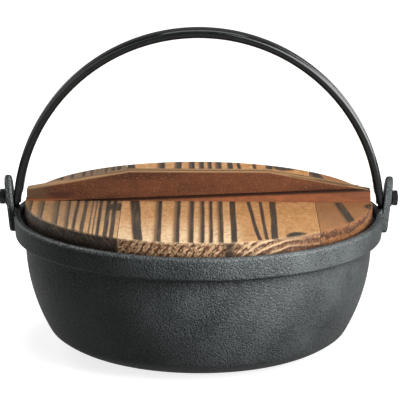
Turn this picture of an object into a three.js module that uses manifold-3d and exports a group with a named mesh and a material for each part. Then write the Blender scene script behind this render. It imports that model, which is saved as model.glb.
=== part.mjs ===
// Cast iron stew pot: a bowl with two cast ears, a flat steel bail bolted to them
// and a boarded wooden lid with a batten handle in a tapered sliding dovetail.
// Millimetres, +Z up. The origin is the middle of the flat base, and the ears lie along X.

import * as THREE from 'three';
import { mergeVertices } from 'three/addons/utils/BufferGeometryUtils.js';
import Module from 'manifold-3d';

// Bowl
const POT_HEIGHT = 96.5;
const RIM_RADIUS = 134;
const RIM_WALL = 5.4;
const RIM_EDGE_RADIUS = 2;
const BAND_HEIGHT = 16;
const BAND_TAPER = 1;
const BAND_OVERHANG = 7.4;
const BAND_EDGE_RADIUS = 2;
const BAND_FILLET = 3;
const BELLY_DROP = 19;
const BELLY_ARC_RADIUS = 129;
const CORNER_RADIUS = 13;
const BASE_ARC_RADIUS = 49;
const BASE_ARC_DEGREES = 38;
const WALL = 5;
const BASE_THICKNESS = 6;
const SEAT_DEPTH = 6;
const SEAT_EDGE_CHAMFER = 1;

// Ears
const EAR_WIDTH = 20;
const EAR_THICKNESS = 5;
const EAR_LEAN = THREE.MathUtils.degToRad(6);
const EAR_OUTSET = 0.2;
const EAR_HEAD_RISE = 15.8;
const EAR_ROOT_DEPTH = 13.5;
const EAR_FILLET = 3;
const EAR_FLARE = 5;
const SPOT_FACE_DEPTH = 0.7;
const SPOT_FACE_MARGIN = 1;

// Pivots
const PIVOT_RISE = 11;
const BOLT_RADIUS = 3;
const BOLT_HEAD_RADIUS = 4.6;
const BOLT_HEAD_HEIGHT = 2.2;
const BOLT_HEAD_CHAMFER = 0.5;
const BOLT_HEAD_SINK = 0.2;
const BOLT_TIP = 1.2;
const BOLT_TIP_CHAMFER = 0.5;
const BOLT_SLOT_WIDTH = 1.2;
const BOLT_SLOT_DEPTH = 0.9;
const WASHER_RADIUS = 6.2;
const WASHER_THICKNESS = 1.2;
const NUT_ACROSS_FLATS = 10;
const NUT_THICKNESS = 4;

// Bail
const BAIL_RISE = 124;
const BAIL_WIDTH = 16;
const BAIL_THICKNESS = 6.4;
const BAIL_EDGE_RADIUS = 2;
const EYE_THICKNESS = 5.2;
const EYE_NECK_RISE = 1;
const EYE_NECK_LENGTH = 6;
const EYE_TAPER = 2.2;
const EYE_TAPER_DROP = 0.8;

// Lid
const LID_THICKNESS = 15;
const LID_EDGE_CHAMFER = 0.8;
const LEFT_JOINT_SHARE = -0.44;
const RIGHT_JOINT_SHARE = 0.667;

// Lid handle and its dovetail
const HANDLE_THICKNESS = 11.5;
const HANDLE_HEIGHT = 21.7;
const HANDLE_END_HEIGHT = 9.8;
const HANDLE_TOP_LENGTH = 102;
const HANDLE_END_ROUND = 1.6;
const HANDLE_END_INSET = 1.6;
const DOVETAIL_ANGLE = THREE.MathUtils.degToRad(24);
const DOVETAIL_DEPTH = 6;
const DOVETAIL_SHOULDER = 1.5;
const DOVETAIL_LEFT_DROP = 3.6;
const DOVETAIL_RIGHT_RISE = 8.2;
const DOVETAIL_NECK = 1.2;

// Clearances
const LID_SIDE_CLEARANCE = 2.6;
const SEAT_GAP = 0.3;
const PIVOT_CLEARANCE = 0.3;
const GLUE_GAP = 0.3;
const DOVETAIL_CLEARANCE = 0.3;

// Facets
const ROUND_STEPS = 96;
const SMALL_ROUND_STEPS = 24;
const ARC_STEPS = 6;
const BELLY_STEPS = 5;
const CORNER_STEPS = 4;
const BASE_STEPS = 3;
const EDGE_STEPS = 3;
const BAIL_STEPS = 60;
const MERGE_DISTANCE = 1e-4;
const LARGEST_EDGE_SHARE = 0.48;

// Levels and radii that the pieces share
const RECESS_RADIUS = RIM_RADIUS - RIM_WALL;
const BAND_LOW_RADIUS = RIM_RADIUS - BAND_TAPER;
const BELLY_RADIUS = BAND_LOW_RADIUS - BAND_OVERHANG;
const BELLY_Z = POT_HEIGHT - BELLY_DROP;
const BAND_Z = POT_HEIGHT - BAND_HEIGHT;
const SEAT_Z = POT_HEIGHT - SEAT_DEPTH;
const PIVOT_Z = POT_HEIGHT + PIVOT_RISE;
const EAR_SEAT_X = RIM_RADIUS + EAR_OUTSET;
const EAR_OUTER_SEAT_X = EAR_SEAT_X + EAR_THICKNESS - SPOT_FACE_DEPTH;
const EYE_OUTER_X = EAR_SEAT_X - SEAT_GAP;
const EYE_INNER_X = EYE_OUTER_X - EYE_THICKNESS;
const EYE_RADIUS = BAIL_WIDTH / 2;
const BOLT_HEAD_X = EYE_INNER_X + BOLT_HEAD_SINK;
const BOLT_NECK_X = BOLT_HEAD_X + BOLT_HEAD_HEIGHT;
const WASHER_X = EAR_OUTER_SEAT_X + SEAT_GAP;
const NUT_X = WASHER_X + WASHER_THICKNESS + SEAT_GAP;
const BOLT_END_X = NUT_X + NUT_THICKNESS + BOLT_TIP;
const HOLE_RADIUS = BOLT_RADIUS + PIVOT_CLEARANCE;
const LID_RADIUS = RECESS_RADIUS - LID_SIDE_CLEARANCE;
const LID_BOTTOM_Z = SEAT_Z + SEAT_GAP;
const LID_TOP_Z = LID_BOTTOM_Z + LID_THICKNESS;
const HANDLE_REACH = LID_RADIUS - HANDLE_END_INSET;
const LEFT_JOINT_X = LEFT_JOINT_SHARE * LID_RADIUS;
const RIGHT_JOINT_X = RIGHT_JOINT_SHARE * LID_RADIUS;

const { Manifold, Mesh: ManifoldMesh } = await loadManifold();

async function loadManifold() {
  const wasm = await Module();
  wasm.setup();
  return wasm;
}

// Turns a closed geometry into a solid: shared corners merged, slivers on the axis dropped, faces outward.
function toSolid(geometry) {
  const bare = geometry.clone();
  bare.deleteAttribute('normal');
  bare.deleteAttribute('uv');
  const merged = mergeVertices(bare, MERGE_DISTANCE);
  const corners = merged.attributes.position.array;
  const kept = [];
  for (let i = 0; i < merged.index.count; i += 3) {
    const [a, b, c] = merged.index.array.slice(i, i + 3);
    if (a !== b && b !== c && c !== a) kept.push([a, b, c]);
  }
  const outward = signedVolume(corners, kept) > 0;
  const triangles = outward ? kept : kept.map(([a, b, c]) => [a, c, b]);
  return new Manifold(new ManifoldMesh({
    numProp: 3,
    vertProperties: new Float32Array(corners),
    triVerts: new Uint32Array(triangles.flat()),
  }));
}

function signedVolume(corners, triangles) {
  const at = (i) => new THREE.Vector3().fromArray(corners, 3 * i);
  return triangles.reduce((sum, [a, b, c]) => sum + at(a).dot(at(b).cross(at(c))) / 6, 0);
}

function toGeometry(solid) {
  const mesh = solid.getMesh();
  const geometry = new THREE.BufferGeometry();
  geometry.setAttribute('position', new THREE.BufferAttribute(new Float32Array(mesh.vertProperties), 3));
  geometry.setIndex(new THREE.BufferAttribute(new Uint32Array(mesh.triVerts), 1));
  geometry.computeVertexNormals();
  return geometry;
}

// Points along an arc, from one angle to another in degrees, counted from +X of the drawing.
function arc(centreX, centreY, radius, fromDegrees, toDegrees, steps) {
  return Array.from({ length: steps + 1 }, (_, i) => {
    const angle = THREE.MathUtils.degToRad(THREE.MathUtils.lerp(fromDegrees, toDegrees, i / steps));
    return new THREE.Vector2(centreX + radius * Math.cos(angle), centreY + radius * Math.sin(angle));
  });
}

const point = (x, y) => new THREE.Vector2(x, y);

// A solid of revolution about Z from a profile of radius and height.
function revolve(profile, steps) {
  return toSolid(new THREE.LatheGeometry(profile, steps).rotateX(Math.PI / 2));
}

// A solid of revolution about X, whose profile gives radius and distance along +X.
function revolveAboutX(profile, steps) {
  return toSolid(new THREE.LatheGeometry(profile, steps).rotateZ(-Math.PI / 2));
}

function cylinderAlongX(radius, fromX, toX, z) {
  const geometry = new THREE.CylinderGeometry(radius, radius, toX - fromX, SMALL_ROUND_STEPS);
  return toSolid(geometry.rotateZ(-Math.PI / 2).translate((fromX + toX) / 2, 0, z));
}

// The same cylinder at both pivots, between two distances from the middle of the pot.
function pivotPair(radius, nearX, farX) {
  const right = cylinderAlongX(radius, nearX, farX, PIVOT_Z);
  const left = cylinderAlongX(radius, -farX, -nearX, PIVOT_Z);
  return right.add(left);
}

function box(fromX, toX, depthY, fromZ, toZ) {
  const geometry = new THREE.BoxGeometry(toX - fromX, depthY, toZ - fromZ);
  return toSolid(geometry.translate((fromX + toX) / 2, 0, (fromZ + toZ) / 2));
}

// A drawing in Y and Z, given as x and y, extruded along X.
function extrudeAlongX(shape, fromX, toX) {
  const options = { depth: toX - fromX, bevelEnabled: false, curveSegments: ARC_STEPS };
  const geometry = new THREE.ExtrudeGeometry(shape, options);
  const axes = new THREE.Matrix4().makeBasis(
    new THREE.Vector3(0, 1, 0), new THREE.Vector3(0, 0, 1), new THREE.Vector3(1, 0, 0));
  return toSolid(geometry.applyMatrix4(axes).translate(fromX, 0, 0));
}

// A skin through matching loops of points, closed by a flat cap at each end.
function loft(loops, drawing) {
  const count = loops[0].length;
  const positions = loops.flat().flatMap((corner) => corner.toArray());
  const faces = [];
  for (let ring = 0; ring + 1 < loops.length; ring += 1) {
    for (let i = 0; i < count; i += 1) {
      const next = (i + 1) % count;
      const near = ring * count;
      const far = near + count;
      faces.push(near + i, near + next, far + next, near + i, far + next, far + i);
    }
  }
  const last = (loops.length - 1) * count;
  for (const [a, b, c] of THREE.ShapeUtils.triangulateShape(drawing, [])) {
    faces.push(a, c, b, last + a, last + b, last + c);
  }
  const geometry = new THREE.BufferGeometry();
  geometry.setAttribute('position', new THREE.Float32BufferAttribute(positions, 3));
  geometry.setIndex(faces);
  return toSolid(geometry);
}

// Bowl wall below the band: the arcs of base, corner and belly, tangent to each other and to the floor.
function wallArcs(inset, floorZ) {
  const bellyArc = BELLY_ARC_RADIUS - inset;
  const cornerArc = CORNER_RADIUS - inset;
  const baseArc = BASE_ARC_RADIUS - inset;
  const baseAngle = THREE.MathUtils.degToRad(BASE_ARC_DEGREES);
  const bellyX = BELLY_RADIUS - BELLY_ARC_RADIUS;
  const cornerZ = floorZ + baseArc - (baseArc - cornerArc) * Math.cos(baseAngle);
  const tangent = Math.asin((BELLY_Z - cornerZ) / (bellyArc - cornerArc));
  const cornerX = bellyX + (bellyArc - cornerArc) * Math.cos(tangent);
  const baseX = cornerX - (baseArc - cornerArc) * Math.sin(baseAngle);
  const baseEnd = BASE_ARC_DEGREES - 90;
  const bellyStart = -THREE.MathUtils.radToDeg(tangent);
  return [
    ...arc(baseX, floorZ + baseArc, baseArc, -90, baseEnd, BASE_STEPS),
    ...arc(cornerX, cornerZ, cornerArc, baseEnd, bellyStart, CORNER_STEPS).slice(1),
    ...arc(bellyX, BELLY_Z, bellyArc, bellyStart, 0, BELLY_STEPS).slice(1),
  ];
}

function bowlProfile() {
  const outside = wallArcs(0, 0);
  const inside = wallArcs(WALL, BASE_THICKNESS).reverse();
  return [
    point(0, 0),
    ...outside,
    ...arc(BELLY_RADIUS + BAND_FILLET, BAND_Z - BAND_FILLET, BAND_FILLET, 180, 90, EDGE_STEPS),
    ...arc(BAND_LOW_RADIUS - BAND_EDGE_RADIUS, BAND_Z + BAND_EDGE_RADIUS, BAND_EDGE_RADIUS, -90, 0, EDGE_STEPS),
    ...arc(RIM_RADIUS - RIM_EDGE_RADIUS, POT_HEIGHT - RIM_EDGE_RADIUS, RIM_EDGE_RADIUS, 0, 90, EDGE_STEPS),
    point(RECESS_RADIUS + SEAT_EDGE_CHAMFER, POT_HEIGHT),
    point(RECESS_RADIUS, POT_HEIGHT - SEAT_EDGE_CHAMFER),
    point(RECESS_RADIUS, SEAT_Z),
    point(BELLY_RADIUS - WALL + SEAT_EDGE_CHAMFER, SEAT_Z),
    point(BELLY_RADIUS - WALL, SEAT_Z - SEAT_EDGE_CHAMFER),
    ...inside,
    point(0, BASE_THICKNESS),
  ];
}

// The ears are two slices of one leaning ring that grows out of the rim, cut to a round-headed outline.
function earRingProfile() {
  const innerFace = (z) => EAR_SEAT_X + (z - PIVOT_Z) * Math.tan(EAR_LEAN);
  const outerFace = (z) => innerFace(z) + EAR_THICKNESS / Math.cos(EAR_LEAN);
  const topZ = PIVOT_Z + EAR_HEAD_RISE;
  const rootZ = POT_HEIGHT - EAR_ROOT_DEPTH;
  const filletCentre = innerFace(POT_HEIGHT + EAR_FILLET) - EAR_FILLET;
  const start = point(filletCentre, rootZ);
  return [
    start,
    point(outerFace(rootZ), rootZ),
    point(outerFace(topZ), topZ),
    point(innerFace(topZ), topZ),
    ...arc(filletCentre, POT_HEIGHT + EAR_FILLET, EAR_FILLET, 0, -90, EDGE_STEPS),
    start.clone(),
  ];
}

function earOutline() {
  const half = EAR_WIDTH / 2;
  const headZ = PIVOT_Z + EAR_HEAD_RISE - half;
  const shape = new THREE.Shape();
  shape.moveTo(-half, POT_HEIGHT - EAR_ROOT_DEPTH);
  shape.lineTo(half, POT_HEIGHT - EAR_ROOT_DEPTH);
  shape.absarc(0, headZ, half, 0, Math.PI, false);
  shape.closePath();
  return shape;
}

// The rim's top sweeps up to both edges of each ear in a round flare.
function flareOutline() {
  const half = EAR_WIDTH / 2;
  const reach = half + EAR_FLARE;
  const shape = new THREE.Shape();
  shape.moveTo(-reach, POT_HEIGHT - RIM_EDGE_RADIUS);
  shape.lineTo(reach, POT_HEIGHT - RIM_EDGE_RADIUS);
  shape.absarc(reach, POT_HEIGHT + EAR_FLARE, EAR_FLARE, 1.5 * Math.PI, Math.PI, true);
  shape.absarc(-reach, POT_HEIGHT + EAR_FLARE, EAR_FLARE, 0, -0.5 * Math.PI, true);
  shape.closePath();
  return shape;
}

function flareRingProfile() {
  const inner = RECESS_RADIUS + SEAT_EDGE_CHAMFER;
  const outer = RIM_RADIUS - RIM_EDGE_RADIUS / 2;
  const lowZ = POT_HEIGHT - RIM_EDGE_RADIUS;
  const highZ = POT_HEIGHT + EAR_FLARE;
  return [point(inner, lowZ), point(outer, lowZ), point(outer, highZ), point(inner, highZ), point(inner, lowZ)];
}

function makePotBody() {
  const bothSides = (outline) => extrudeAlongX(outline, -BOLT_END_X, BOLT_END_X);
  const ears = revolve(earRingProfile(), ROUND_STEPS).intersect(bothSides(earOutline()));
  const flares = revolve(flareRingProfile(), ROUND_STEPS).intersect(bothSides(flareOutline()));
  const eyeFaces = pivotPair(EYE_RADIUS + SPOT_FACE_MARGIN, BOLT_HEAD_X, EAR_SEAT_X);
  const washerFaces = pivotPair(WASHER_RADIUS + SPOT_FACE_MARGIN, EAR_OUTER_SEAT_X, BOLT_END_X);
  const holes = pivotPair(HOLE_RADIUS, BOLT_HEAD_X, BOLT_END_X);
  const casting = revolve(bowlProfile(), ROUND_STEPS).add(ears).add(flares);
  return casting.subtract(eyeFaces).subtract(washerFaces).subtract(holes);
}

// Flat bar section, given as radial offset and width offset about its own middle.
function barSection(thickness, width) {
  const radius = Math.min(BAIL_EDGE_RADIUS, LARGEST_EDGE_SHARE * thickness);
  const x = thickness / 2 - radius;
  const y = width / 2 - radius;
  return [
    ...arc(x, y, radius, 0, 90, EDGE_STEPS),
    ...arc(-x, y, radius, 90, 180, EDGE_STEPS),
    ...arc(-x, -y, radius, 180, 270, EDGE_STEPS),
    ...arc(x, -y, radius, 270, 360, EDGE_STEPS),
  ];
}

// The bail's outer face is one arc through the crown and both eyes; its thinner eyes sink the bolt heads.
// Wedges that thin the inside of both eyes towards their feet.
function eyeTapers() {
  const topZ = PIVOT_Z - EYE_TAPER_DROP;
  const footZ = PIVOT_Z - EYE_RADIUS;
  const outline = new THREE.Shape([
    point(EYE_INNER_X - SEAT_GAP, footZ - SEAT_GAP),
    point(EYE_INNER_X + EYE_TAPER, footZ - SEAT_GAP),
    point(EYE_INNER_X + EYE_TAPER, footZ),
    point(EYE_INNER_X, topZ),
    point(EYE_INNER_X - SEAT_GAP, topZ),
  ]);
  const wedge = new THREE.ExtrudeGeometry(outline, { depth: 2 * BAIL_WIDTH, bevelEnabled: false });
  wedge.rotateX(Math.PI / 2).translate(0, BAIL_WIDTH, 0);
  return toSolid(wedge.clone().rotateZ(Math.PI)).add(toSolid(wedge));
}

function makeBail() {
  const outerRadius = (EYE_OUTER_X ** 2 + BAIL_RISE ** 2) / (2 * BAIL_RISE);
  const centreZ = PIVOT_Z + BAIL_RISE - outerRadius;
  const endAngle = Math.acos((PIVOT_Z - centreZ) / outerRadius);
  const loops = [];
  for (let i = 0; i <= BAIL_STEPS; i += 1) {
    const share = i / BAIL_STEPS;
    const eased = share - Math.sin(2 * Math.PI * share) / (4 * Math.PI);
    const angle = THREE.MathUtils.lerp(-endAngle, endAngle, eased);
    const rise = centreZ + outerRadius * Math.cos(angle) - PIVOT_Z;
    const forged = THREE.MathUtils.smoothstep(rise, EYE_NECK_RISE, EYE_NECK_RISE + EYE_NECK_LENGTH);
    const thickness = THREE.MathUtils.lerp(EYE_THICKNESS, BAIL_THICKNESS, forged);
    const middle = outerRadius - thickness / 2;
    loops.push(barSection(thickness, BAIL_WIDTH).map((corner) => new THREE.Vector3(
      (middle + corner.x) * Math.sin(angle), corner.y, centreZ + (middle + corner.x) * Math.cos(angle))));
  }
  const bar = loft(loops, barSection(EYE_THICKNESS, BAIL_WIDTH));
  const eyes = pivotPair(EYE_RADIUS, EYE_INNER_X, EYE_OUTER_X);
  const sinkRadius = BOLT_HEAD_RADIUS + SEAT_GAP;
  const headSinks = pivotPair(sinkRadius, EYE_INNER_X - BAIL_THICKNESS, BOLT_NECK_X + SEAT_GAP);
  const holes = pivotPair(HOLE_RADIUS, BOLT_HEAD_X, BOLT_END_X);
  return bar.add(eyes.subtract(eyeTapers())).subtract(headSinks).subtract(holes);
}

// Slotted cheese-head bolt, its head sunk in the inside of the bail's eye, drawn for the right-hand ear.
function makePivotBolt() {
  const bolt = revolveAboutX([
    point(0, BOLT_HEAD_X),
    point(BOLT_HEAD_RADIUS - BOLT_HEAD_CHAMFER, BOLT_HEAD_X),
    point(BOLT_HEAD_RADIUS, BOLT_HEAD_X + BOLT_HEAD_CHAMFER),
    point(BOLT_HEAD_RADIUS, BOLT_NECK_X),
    point(BOLT_RADIUS, BOLT_NECK_X),
    point(BOLT_RADIUS, BOLT_END_X - BOLT_TIP_CHAMFER),
    point(BOLT_RADIUS - BOLT_TIP_CHAMFER, BOLT_END_X),
    point(0, BOLT_END_X),
  ], SMALL_ROUND_STEPS);
  const slotX = BOLT_HEAD_X + BOLT_SLOT_DEPTH;
  const slotEnd = BOLT_HEAD_RADIUS + SEAT_GAP;
  return bolt.subtract(box(BOLT_HEAD_X - SEAT_GAP, slotX, BOLT_SLOT_WIDTH, -slotEnd, slotEnd));
}

function ringShape(outline) {
  const hole = new THREE.Path().absarc(0, 0, HOLE_RADIUS, 0, 2 * Math.PI, true);
  outline.holes.push(hole);
  return outline;
}

function makeWasher() {
  const outline = new THREE.Shape().absarc(0, 0, WASHER_RADIUS, 0, 2 * Math.PI, false);
  return extrudeAlongX(ringShape(outline), WASHER_X, WASHER_X + WASHER_THICKNESS);
}

// Hexagon nut with two flats level, one corner towards the front.
function makeNut() {
  const corner = NUT_ACROSS_FLATS / 2 / Math.cos(Math.PI / 6);
  const corners = arc(0, 0, corner, 0, 300, 5);
  return extrudeAlongX(ringShape(new THREE.Shape(corners)), NUT_X, NUT_X + NUT_THICKNESS);
}

// The dovetail's top edge climbs from inside the lid at the left end to above it at the right end.
function dovetailTop(x) {
  const share = (x + HANDLE_REACH) / (2 * HANDLE_REACH);
  return LID_TOP_Z + THREE.MathUtils.lerp(-DOVETAIL_LEFT_DROP, DOVETAIL_RIGHT_RISE, share);
}

// Tapered key with a short straight neck above its flanks; the groove is the same form, larger by a clearance.
function dovetailKey(fromX, toX, clearance) {
  const floorZ = LID_TOP_Z - DOVETAIL_DEPTH;
  const neckHalf = HANDLE_THICKNESS / 2 - DOVETAIL_SHOULDER;
  const section = (x) => {
    const topZ = dovetailTop(x);
    const footHalf = neckHalf + (topZ - floorZ) * Math.tan(DOVETAIL_ANGLE);
    return [
      point(-footHalf - clearance, floorZ - clearance),
      point(footHalf + clearance, floorZ - clearance),
      point(neckHalf + clearance, topZ),
      point(neckHalf + clearance, topZ + DOVETAIL_NECK),
      point(-neckHalf - clearance, topZ + DOVETAIL_NECK),
      point(-neckHalf - clearance, topZ),
    ];
  };
  const loops = [fromX, toX].map((x) => section(x).map((corner) => new THREE.Vector3(x, corner.x, corner.y)));
  return loft(loops, section(fromX));
}

// Slot that lets the handle's blade dip below the lid's face where the dovetail starts lower.
function bladeSlot(fromX, toX, clearance) {
  const half = HANDLE_THICKNESS / 2 + clearance;
  const section = (x) => [
    point(-half, dovetailTop(x) - clearance),
    point(half, dovetailTop(x) - clearance),
    point(half, LID_TOP_Z + HANDLE_HEIGHT),
    point(-half, LID_TOP_Z + HANDLE_HEIGHT),
  ];
  const loops = [fromX, toX].map((x) => section(x).map((corner) => new THREE.Vector3(x, corner.x, corner.y)));
  return loft(loops, section(fromX));
}

function makeLidHandle() {
  const endZ = LID_TOP_Z + HANDLE_END_HEIGHT;
  const topZ = LID_TOP_Z + HANDLE_HEIGHT;
  const slopeLength = HANDLE_REACH - HANDLE_TOP_LENGTH / 2;
  const slopeDegrees = THREE.MathUtils.radToDeg(Math.atan2(topZ - endZ, slopeLength));
  const roundX = HANDLE_REACH - HANDLE_END_ROUND;
  const roundZ = endZ - HANDLE_END_ROUND;
  const outline = new THREE.Shape([
    point(-HANDLE_REACH, dovetailTop(-HANDLE_REACH)),
    point(HANDLE_REACH, dovetailTop(HANDLE_REACH)),
    ...arc(roundX, roundZ, HANDLE_END_ROUND, 0, 90 - slopeDegrees, EDGE_STEPS),
    point(HANDLE_TOP_LENGTH / 2, topZ),
    point(-HANDLE_TOP_LENGTH / 2, topZ),
    ...arc(-roundX, roundZ, HANDLE_END_ROUND, 90 + slopeDegrees, 180, EDGE_STEPS),
  ]);
  const blade = new THREE.ExtrudeGeometry(outline, { depth: HANDLE_THICKNESS, bevelEnabled: false });
  blade.rotateX(Math.PI / 2).translate(0, HANDLE_THICKNESS / 2, 0);
  return toSolid(blade).add(dovetailKey(-HANDLE_REACH, HANDLE_REACH, 0));
}

// One board of the lid: the round disc between two joints, less the dovetail groove that crosses all boards.
function makeLidBoard(fromX, toX) {
  const disc = revolve([
    point(0, LID_BOTTOM_Z),
    point(LID_RADIUS - LID_EDGE_CHAMFER, LID_BOTTOM_Z),
    point(LID_RADIUS, LID_BOTTOM_Z + LID_EDGE_CHAMFER),
    point(LID_RADIUS, LID_TOP_Z - LID_EDGE_CHAMFER),
    point(LID_RADIUS - LID_EDGE_CHAMFER, LID_TOP_Z),
    point(0, LID_TOP_Z),
  ], ROUND_STEPS);
  const cut = box(fromX, toX, 2 * RIM_RADIUS, LID_BOTTOM_Z - SEAT_GAP, LID_TOP_Z + SEAT_GAP);
  const groove = dovetailKey(-RIM_RADIUS, RIM_RADIUS, DOVETAIL_CLEARANCE)
    .add(bladeSlot(-RIM_RADIUS, RIM_RADIUS, DOVETAIL_CLEARANCE));
  return disc.intersect(cut).subtract(groove);
}

function paint(color, roughness, metalness) {
  return new THREE.MeshStandardMaterial({ color, roughness, metalness });
}

function piece(name, solid, material) {
  const mesh = new THREE.Mesh(toGeometry(solid), material);
  mesh.name = name;
  return mesh;
}

const castIron = () => paint(0x3a3c3d, 0.62, 0.6);
const blackSteel = () => paint(0x232526, 0.38, 0.7);
const boltSteel = () => paint(0x2b2c2c, 0.45, 0.8);
const scorchedWood = () => paint(0xb98a55, 0.7, 0);
const handleWood = () => paint(0x8a5230, 0.65, 0);

const pot = new THREE.Group();
pot.add(piece('pot_body', makePotBody(), castIron()));
pot.add(piece('bail', makeBail(), blackSteel()));

for (const [side, turn] of [['left', Math.PI], ['right', 0]]) {
  const pivot = new THREE.Group();
  pivot.position.z = PIVOT_Z;
  pivot.rotation.z = turn;
  pivot.add(piece(`${side}_pivot_bolt`, makePivotBolt(), boltSteel()));
  pivot.add(piece(`${side}_washer`, makeWasher(), boltSteel()));
  pivot.add(piece(`${side}_nut`, makeNut(), boltSteel()));
  pot.add(pivot);
}

const lid = new THREE.Group();
const boards = [
  ['left', -RIM_RADIUS, LEFT_JOINT_X - GLUE_GAP / 2],
  ['centre', LEFT_JOINT_X + GLUE_GAP / 2, RIGHT_JOINT_X - GLUE_GAP / 2],
  ['right', RIGHT_JOINT_X + GLUE_GAP / 2, RIM_RADIUS],
];
for (const [place, fromX, toX] of boards) {
  lid.add(piece(`lid_board_${place}`, makeLidBoard(fromX, toX), scorchedWood()));
}
lid.add(piece('lid_handle', makeLidHandle(), handleWood()));
pot.add(lid);

export default pot;
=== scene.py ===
"""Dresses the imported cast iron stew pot: casting, steel bail, pivot bolts and scorched wooden lid."""

import logging
import math
from dataclasses import dataclass
from enum import Enum

import bmesh
import bpy
from bmesh.types import BMEdge, BMesh, BMFace, BMLayerItem, BMVert
from bpy.types import Material, Mesh, NodeSocket, NodeTree, Object
from mathutils import Matrix, Vector


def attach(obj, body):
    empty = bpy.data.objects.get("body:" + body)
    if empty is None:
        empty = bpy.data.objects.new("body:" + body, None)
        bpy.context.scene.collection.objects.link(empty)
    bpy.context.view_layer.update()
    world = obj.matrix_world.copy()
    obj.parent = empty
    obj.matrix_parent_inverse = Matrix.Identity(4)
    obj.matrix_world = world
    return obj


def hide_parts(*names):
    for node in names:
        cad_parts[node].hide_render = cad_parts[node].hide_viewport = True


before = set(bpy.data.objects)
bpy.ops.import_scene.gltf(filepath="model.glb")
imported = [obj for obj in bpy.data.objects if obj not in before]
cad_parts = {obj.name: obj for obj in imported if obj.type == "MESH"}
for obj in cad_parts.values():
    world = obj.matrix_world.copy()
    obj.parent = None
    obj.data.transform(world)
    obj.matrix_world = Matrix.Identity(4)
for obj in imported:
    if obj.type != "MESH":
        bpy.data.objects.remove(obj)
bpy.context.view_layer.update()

LOG = logging.getLogger("stew_pot")
MM = 0.001
MERGE_DISTANCE = 2e-6
NODE_MERGE_DISTANCE = 4e-6
FLAT_DEGREES = 0.6
PIVOT_Z = 107.5 * MM
X_AXIS = Vector((1.0, 0.0, 0.0))
Y_AXIS = Vector((0.0, 1.0, 0.0))
Z_AXIS = Vector((0.0, 0.0, 1.0))
HALF_TURN = Matrix.Rotation(math.pi, 4, "Z")
UP_TO_X = Matrix.Rotation(math.pi / 2, 4, "Y")
CASTING = "pot_casting"
BAIL = "bail_bar"

Colour = tuple[float, float, float, float]


class Body(Enum):
    """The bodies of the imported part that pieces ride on."""

    POT = "pot"
    BAIL = "bail"
    LID = "lid"


class Slot(Enum):
    """The material slots of the part's record."""

    IRON = "pot_iron"
    STEEL = "bail_steel"
    FASTENER = "fasteners"
    BOARD = "lid_wood"
    HANDLE = "handle_wood"


class Side(Enum):
    """The two ends of the pivot line; the left end is the right one turned half round."""

    LEFT = "left"
    RIGHT = "right"

    @property
    def place(self) -> Matrix:
        """The turn that takes a piece made on the right to this side."""
        return Matrix.Identity(4) if self is Side.RIGHT else HALF_TURN


class Board(Enum):
    """The three lid boards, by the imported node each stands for."""

    LEFT = "lid_board_left"
    CENTRE = "lid_board_centre"
    RIGHT = "lid_board_right"


def srgb(*levels: int) -> Colour:
    """Turns a colour as written on screen into the linear colour that a shader takes.

    Args:
        *levels: Red, green and blue from 0 to 255.

    Returns:
        The linear colour with full opacity.
    """
    shares = [level / 255.0 for level in levels]
    linear = [share / 12.92 if share <= 0.04045 else ((share + 0.055) / 1.055) ** 2.4 for share in shares]
    return (*linear, 1.0)


@dataclass(frozen=True)
class Signal:
    """A value in a node tree; plain arithmetic on it adds Math nodes."""

    graph: "Graph"
    socket: NodeSocket

    def __add__(self, other: "Value") -> "Signal":
        """Adds a value."""
        return self.graph.math("ADD", self, other)

    def __sub__(self, other: "Value") -> "Signal":
        """Takes a value away."""
        return self.graph.math("SUBTRACT", self, other)

    def __mul__(self, other: "Value") -> "Signal":
        """Multiplies by a value."""
        return self.graph.math("MULTIPLY", self, other)

    def __truediv__(self, other: "Value") -> "Signal":
        """Divides by a value."""
        return self.graph.math("DIVIDE", self, other)

    def __pow__(self, other: "Value") -> "Signal":
        """Raises to a power."""
        return self.graph.math("POWER", self, other)

    def __abs__(self) -> "Signal":
        """Drops the sign."""
        return self.graph.math("ABSOLUTE", self)

    def peak(self, other: "Value") -> "Signal":
        """Gives the larger of two values."""
        return self.graph.math("MAXIMUM", self, other)

    def step(self, low: float, high: float, start: float = 0.0, end: "Value" = 1.0) -> "Signal":
        """Eases from one value to another while this one crosses a range.

        Args:
            low: Where the change begins.
            high: Where it is complete.
            start: The result below the range.
            end: The result above it.

        Returns:
            The eased value.
        """
        inputs = {"Value": self, "From Min": low, "From Max": high, "To Min": start, "To Max": end}
        return self.graph.add("MapRange", "Result", inputs, interpolation_type="SMOOTHSTEP")


Value = Signal | float
Tint = Signal | Colour


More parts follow.
